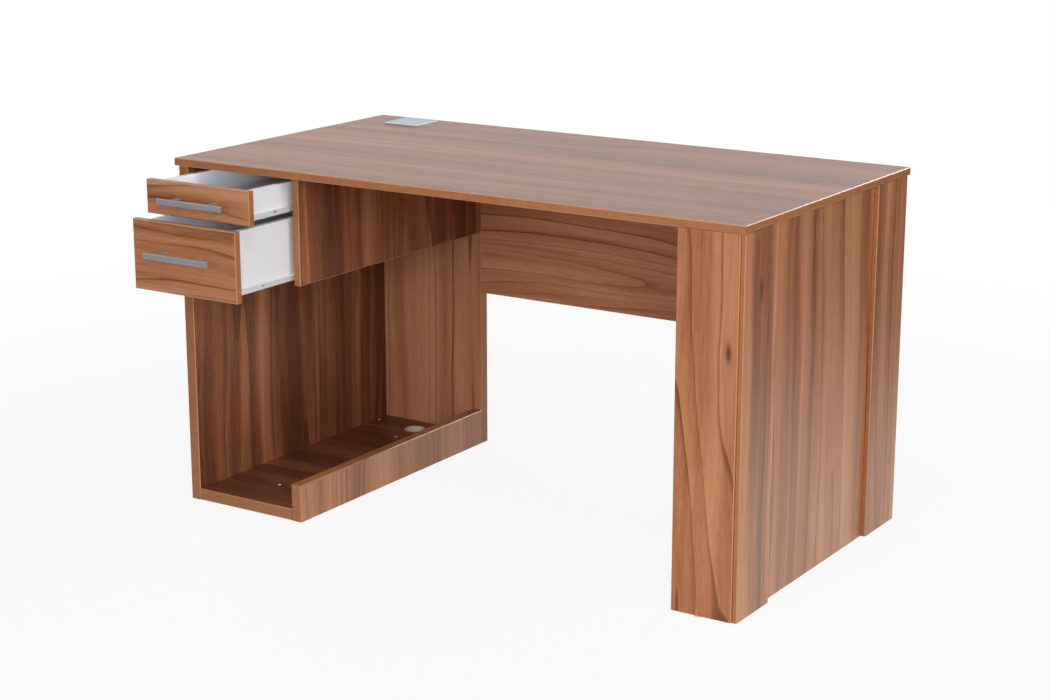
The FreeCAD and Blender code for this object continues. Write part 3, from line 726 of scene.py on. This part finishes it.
class DESK_OT_slides(bpy.types.Operator):
    """Finish the roller slides: rails, axles, rollers and their screws"""

    bl_idname = "desk.slides"
    bl_label = "Roller Slides"

    def execute(self, context):
        metals, sizes = context.scene.desk_metals, context.scene.desk_fittings
        steel, paint = finish_of("zinc_steel", metals), finish_of("white_rail", metals)
        nylon = finish_of("nylon", metals)
        give(steel, "cabinet_roller_axles", *("%s_drawer_roller_axles" % level for level in DRAWERS))
        for level in DRAWERS:
            for side in SIDES:
                give(paint, "cabinet_rail_%s_%s" % (level, side), "%s_drawer_rail_%s" % (level, side))
                self.roller(context, sizes, nylon, "cabinet_roller_%s_%s" % (level, side))
                self.roller(context, sizes, nylon, "drawer_roller_%s_%s" % (level, side))
        self.screws(sizes, steel)
        return {"FINISHED"}

    def roller_outline(self, sizes, radius, half):
        """A roller's section as (radius, place along the axle), with a rounded rim and dished faces."""
        bore, hub, rim = (share * radius for share in (ROLLER_BORE, ROLLER_HUB, ROLLER_RIM))
        dish, rounding = sizes.roller_dish, sizes.roller_round
        floor = half - dish
        side = [(bore, half), (hub, half), (hub + dish, floor), (rim - dish, floor), (rim, half)]
        side += [(radius - rounding * (1 - math.sin(turn)), half - rounding * (1 - math.cos(turn)))
                 for turn in ROUNDING_TURNS]
        return side + [(r, -x) for r, x in reversed(side)]

    def roller(self, context, sizes, nylon, node):
        """A nylon roller, spun about its axle in place of the plain one."""
        low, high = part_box(node)
        outline = self.roller_outline(sizes, (high.z - low.z) / 2, (high.x - low.x) / 2)
        mesh = bpy.data.meshes.new("nylon_" + node)
        shape = bmesh.new()
        ring = [shape.verts.new((x, 0.0, r)) for r, x in outline]
        edges = [shape.edges.new((ring[k - 1], ring[k])) for k in range(len(ring))]
        bmesh.ops.spin(shape, geom=ring + edges, axis=(1, 0, 0), cent=(0, 0, 0), angle=math.tau,
                       steps=ROLLER_FACETS, use_merge=True)
        bmesh.ops.remove_doubles(shape, verts=shape.verts, dist=MERGE_DISTANCE)
        bmesh.ops.recalc_face_normals(shape, faces=shape.faces)
        shape.transform(Matrix.Translation((low + high) / 2))
        for face in shape.faces:
            face.smooth = True
        shape.to_mesh(mesh)
        shape.free()
        mesh.set_sharp_from_angle(angle=SHARP_EDGE)
        piece = bpy.data.objects.new("nylon_" + node, mesh)
        context.scene.collection.objects.link(piece)
        mesh.materials.append(nylon)
        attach(piece, node)
        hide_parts(node)

    def screws(self, sizes, steel):
        """Screws through the cabinet rails, and finer ones in place of the drawer rails' plain screws."""
        tree = screw_tree()
        head = {"Radius": sizes.screw_radius, "Height": sizes.screw_height}
        for side, way in (("left", 1.0), ("right", -1.0)):
            points = []
            for level in DRAWERS:
                low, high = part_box("cabinet_rail_%s_%s" % (level, side))
                face = low.x + RAIL_SHEET if way > 0 else high.x - RAIL_SHEET
                middle = (low.z + high.z) / 2
                points += [(face, low.y + FROM_FRONT, middle), (face, high.y - FROM_BACK, middle)]
            fitted("cabinet_rail_screws_" + side, tree, points, "desk_frame", "steel", steel,
                   Shank=sizes.cabinet_shank, Turn=toward((way, 0, 0)), **head)
        for level in DRAWERS:
            node = level + "_drawer_rail_screws"
            low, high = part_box(node)
            middle = (low + high) / 2
            for side, x, way in (("left", low.x + PLAIN_HEAD, -1.0), ("right", high.x - PLAIN_HEAD, 1.0)):
                screw = fitted("%s_rail_screw_%s" % (level, side), tree, [(x, middle.y, middle.z)],
                               level + "_drawer", "steel", steel, Shank=sizes.drawer_shank,
                               Turn=toward((way, 0, 0)), **head)
                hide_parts(node)


class DESK_OT_handles(bpy.types.Operator):
    """Finish the bar handles and the screws behind them"""

    bl_idname = "desk.handles"
    bl_label = "Bar Handles"

    def execute(self, context):
        metals, sizes = context.scene.desk_metals, context.scene.desk_fittings
        satin = brushed_material("satin_aluminium", metals.handle, roughness=0.40,
                                 stretch=(0.03, 1.0, 1.0), metallic=0.6)
        steel = finish_of("zinc_steel", metals)
        tree = screw_tree()
        head, tall = sizes.handle_screw_radius, sizes.handle_screw_height
        for level in DRAWERS:
            give(satin, level + "_drawer_handle")
            node = level + "_drawer_handle_screws"
            low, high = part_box(node)
            middle = (low.z + high.z) / 2
            points = [(x, high.y - tall, middle) for x in (low.x + head, high.x - head)]
            screws = fitted(level + "_pull_screws", tree, points, level + "_drawer", "steel", steel,
                            Radius=head, Height=tall, Shank=sizes.handle_shank, Turn=toward((0, 1, 0)))
            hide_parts(node)
        return {"FINISHED"}


class DESK_OT_cable_port(bpy.types.Operator):
    """Finish the silver cable port in the desktop"""

    bl_idname = "desk.cable_port"
    bl_label = "Cable Port"

    def execute(self, context):
        metals = context.scene.desk_metals
        rim = brushed_material("port_rim", metals.port_rim, roughness=0.24, stretch=(1.0, 0.05, 1.0))
        lid = brushed_material("port_lid", metals.port_lid, roughness=0.30, stretch=(0.05, 1.0, 1.0))
        give(rim, "port_frame")
        give(lid, "port_lid")
        return {"FINISHED"}


class DESK_OT_joint_fittings(bpy.types.Operator):
    """Finish the dowels, cams and glides, and put the screw caps on the tray"""

    bl_idname = "desk.joint_fittings"
    bl_label = "Joint Fittings"

    def execute(self, context):
        metals, sizes = context.scene.desk_metals, context.scene.desk_fittings
        give(finish_of("zinc_steel", metals), "cam_housings", "cam_bolts")
        beech = moulded_material("beech", metals.dowel, roughness=0.55, peel_scale=800.0)
        give(beech, "frame_dowels")
        nylon = finish_of("nylon", metals)
        give(nylon, "floor_glides")
        low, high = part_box("tray_board")
        lip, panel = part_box("tray_lip")[0].x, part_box("left_side_panel")[1].x
        middle, depth = (panel + lip) / 2, high.y - low.y
        spots = [(x, low.y + share * depth, high.z) for x, share in (
            (middle, CAP_FRONT), (middle, CAP_REAR), (panel + CAP_FROM_PANEL, CAP_CORNER))]
        fitted("tray_screw_caps", cap_tree(), spots, "desk_frame", "plastic", nylon,
               Radius=sizes.cap_radius, Height=sizes.cap_height)
        return {"FINISHED"}


# Studio

# Each lamp's azimuth and elevation in degrees, and whether the boards mirror it
LAMPS = {
    "front": (-10.0, 12.0, True),
    "fill": (33.0, 16.0, False),
    "key": (22.0, 68.0, True),
    "side": (72.0, 20.0, False),
    "back": (168.0, 24.0, True),
    "left": (-115.0, 30.0, False),
    "drawer": (42.0, 5.0, False),
}
LAMP_SIZE, LAMP_DISTANCE, LAMP_AIM = 1.8, 4.5, Vector((0.0, 0.1, 0.45))
FLOOR_RADIUS, FLOOR_SEGMENTS, FLOOR_DROP = 40.0, 96, 0.0004
FADE_NEAR, FADE_FAR, FADE_LEAST = 1.2, 3.2, 0.90
SHEEN_NEAR, SHEEN_FAR, SHEEN_STRENGTH = 0.8, 3.0, 1.3
SENSOR_WIDTH = 36.0


def lamp(name, azimuth, elevation, mirrored, power):
    """A round soft lamp aimed at the desk; azimuth 0 is straight in front, 90 on the right.

    A lamp that isn't mirrored lights the boards without a glare on them.
    """
    light = bpy.data.lights.new(name, "AREA")
    light.shape = "DISK"
    light.size = LAMP_SIZE
    light.energy = power
    made = bpy.data.objects.new(name, light)
    turn, rise = math.radians(azimuth), math.radians(elevation)
    away = Vector((math.cos(rise) * math.sin(turn), -math.cos(rise) * math.cos(turn), math.sin(rise)))
    made.location = LAMP_AIM + LAMP_DISTANCE * away
    made.rotation_euler = (-away).to_track_quat("-Z", "Y").to_euler()
    made.visible_camera = False
    made.visible_glossy = mirrored
    bpy.context.scene.collection.objects.link(made)
    return made


class DESK_OT_studio(bpy.types.Operator):
    """Set the pale floor, the lamps, the world and the camera"""

    bl_idname = "desk.studio"
    bl_label = "Studio"

    def execute(self, context):
        scene, settings = context.scene, context.scene.desk_studio
        scene.view_settings.view_transform = "Standard"
        self.floor(scene, settings)
        self.world(scene, settings)
        lamps = {name: lamp(name + "_lamp", *place, getattr(settings, name + "_power"))
                 for name, place in LAMPS.items()}
        self.light_drawers(lamps["drawer"], settings)
        self.camera(scene, settings)
        return {"FINISHED"}

    def light_drawers(self, inside, settings):
        """Keeps the drawer lamp to the drawers' insides and gives it its tint."""
        inside.data.color = settings.drawer_tint
        lit = bpy.data.collections.new("drawer_insides")
        for level in DRAWERS:
            for part in ("side_left", "back", "bottom"):
                lit.objects.link(nodes["%s_drawer_%s" % (level, part)])
        inside.light_linking.receiver_collection = lit

    def floor(self, scene, settings):
        """A wide disc that keeps the desk's shadow and fades into the white backdrop.

        The boards mirror it bright beside the desk and dark far away, as they do a lit studio floor.
        """
        mesh = bpy.data.meshes.new("studio_floor")
        shape = bmesh.new()
        bmesh.ops.create_circle(shape, cap_ends=True, segments=FLOOR_SEGMENTS, radius=FLOOR_RADIUS)
        shape.to_mesh(mesh)
        shape.free()
        floor = bpy.data.objects.new("studio_floor", mesh)
        floor.location.z = -FLOOR_DROP
        scene.collection.objects.link(floor)
        mesh.materials.append(self.floor_material(settings))

    def floor_material(self, settings):
        material, tree, shader = new_material("studio_floor", Roughness=0.9, Specular_IOR_Level=0.1)
        shader.inputs["Base Color"].default_value = opaque(settings.floor)
        far = measure(tree, "LENGTH", place_on_object(tree))
        fade = remap(tree, far, FADE_NEAR, FADE_FAR, FADE_LEAST, 1.0, smooth=True)
        gain = remap(tree, far, SHEEN_NEAR, SHEEN_FAR, SHEEN_STRENGTH - 1.0, -1.0, smooth=True)
        rays = add_node(tree, "ShaderNodeLightPath").outputs
        mirrored = rays["Is Glossy Ray"]
        seen = calc(tree, "MAXIMUM", rays["Is Camera Ray"], rays["Is Transmission Ray"])
        share = calc(tree, "MAXIMUM", calc(tree, "MULTIPLY", seen, fade), mirrored)
        glow = add_node(tree, "ShaderNodeEmission", None, {
            "Color": mix(tree, mirrored, WHITE, opaque(settings.sheen)),
            "Strength": calc(tree, "MULTIPLY_ADD", mirrored, gain, 1.0)})
        mixed = add_node(tree, "ShaderNodeMixShader", None, {
            0: share, 1: shader.outputs[0], 2: glow.outputs[0]})
        feed(tree, tree.nodes["Material Output"], Surface=mixed.outputs[0])
        return material

    def world(self, scene, settings):
        """A backdrop that is white where it is seen or mirrored, and gives a little light all round."""
        world = bpy.data.worlds.new("studio")
        world.use_nodes = True
        tree = world.node_tree
        rays = add_node(tree, "ShaderNodeLightPath").outputs
        mirrored = rays["Is Glossy Ray"]
        seen = calc(tree, "MAXIMUM", rays["Is Camera Ray"], rays["Is Transmission Ray"])
        white = calc(tree, "MAXIMUM", seen, mirrored)
        feed(tree, tree.nodes["Background"], Color=mix(tree, mirrored, WHITE, opaque(settings.sky)),
             Strength=remap(tree, white, 0.0, 1.0, settings.ambient, 1.0))
        scene.world = world

    def camera(self, scene, settings):
        data = bpy.data.cameras.new("camera")
        data.sensor_width = SENSOR_WIDTH
        data.lens = settings.lens
        camera = bpy.data.objects.new("camera", data)
        camera.location = settings.eye
        level = math.cos(settings.tilt)
        look = Vector((-math.sin(settings.azimuth) * level, math.cos(settings.azimuth) * level,
                       -math.sin(settings.tilt)))
        camera.rotation_euler = look.to_track_quat("-Z", "Y").to_euler()
        scene.collection.objects.link(camera)
        scene.camera = camera


# Add-on

OPERATORS = (DESK_OT_walnut_boards, DESK_OT_edging, DESK_OT_drawer_boxes, DESK_OT_slides, DESK_OT_handles,
             DESK_OT_cable_port, DESK_OT_joint_fittings, DESK_OT_studio)


class DESK_PT_panel(bpy.types.Panel):
    """The desk's steps, in the order they are run"""

    bl_label = "Kneehole Desk"
    bl_space_type = "VIEW_3D"
    bl_region_type = "UI"
    bl_category = "Desk"

    def draw(self, context):
        for operator in OPERATORS:
            self.layout.operator(operator.bl_idname)


SETTINGS = {"desk_walnut": WalnutSettings, "desk_edging": EdgingSettings, "desk_drawers": DrawerSettings,
            "desk_metals": MetalSettings, "desk_fittings": FittingSettings, "desk_studio": StudioSettings}
CLASSES = (*SETTINGS.values(), *OPERATORS, DESK_PT_panel)


def register():
    for cls in CLASSES:
        bpy.utils.register_class(cls)
    for name, cls in SETTINGS.items():
        setattr(bpy.types.Scene, name, PointerProperty(type=cls))


def unregister():
    for name in SETTINGS:
        delattr(bpy.types.Scene, name)
    for cls in reversed(CLASSES):
        bpy.utils.unregister_class(cls)


def main():
    register()
    bpy.ops.desk.walnut_boards()
    bpy.ops.desk.edging()
    bpy.ops.desk.drawer_boxes()
    bpy.ops.desk.slides()
    bpy.ops.desk.handles()
    bpy.ops.desk.cable_port()
    bpy.ops.desk.joint_fittings()
    bpy.ops.desk.studio()


if __name__ == "__main__":
    main()
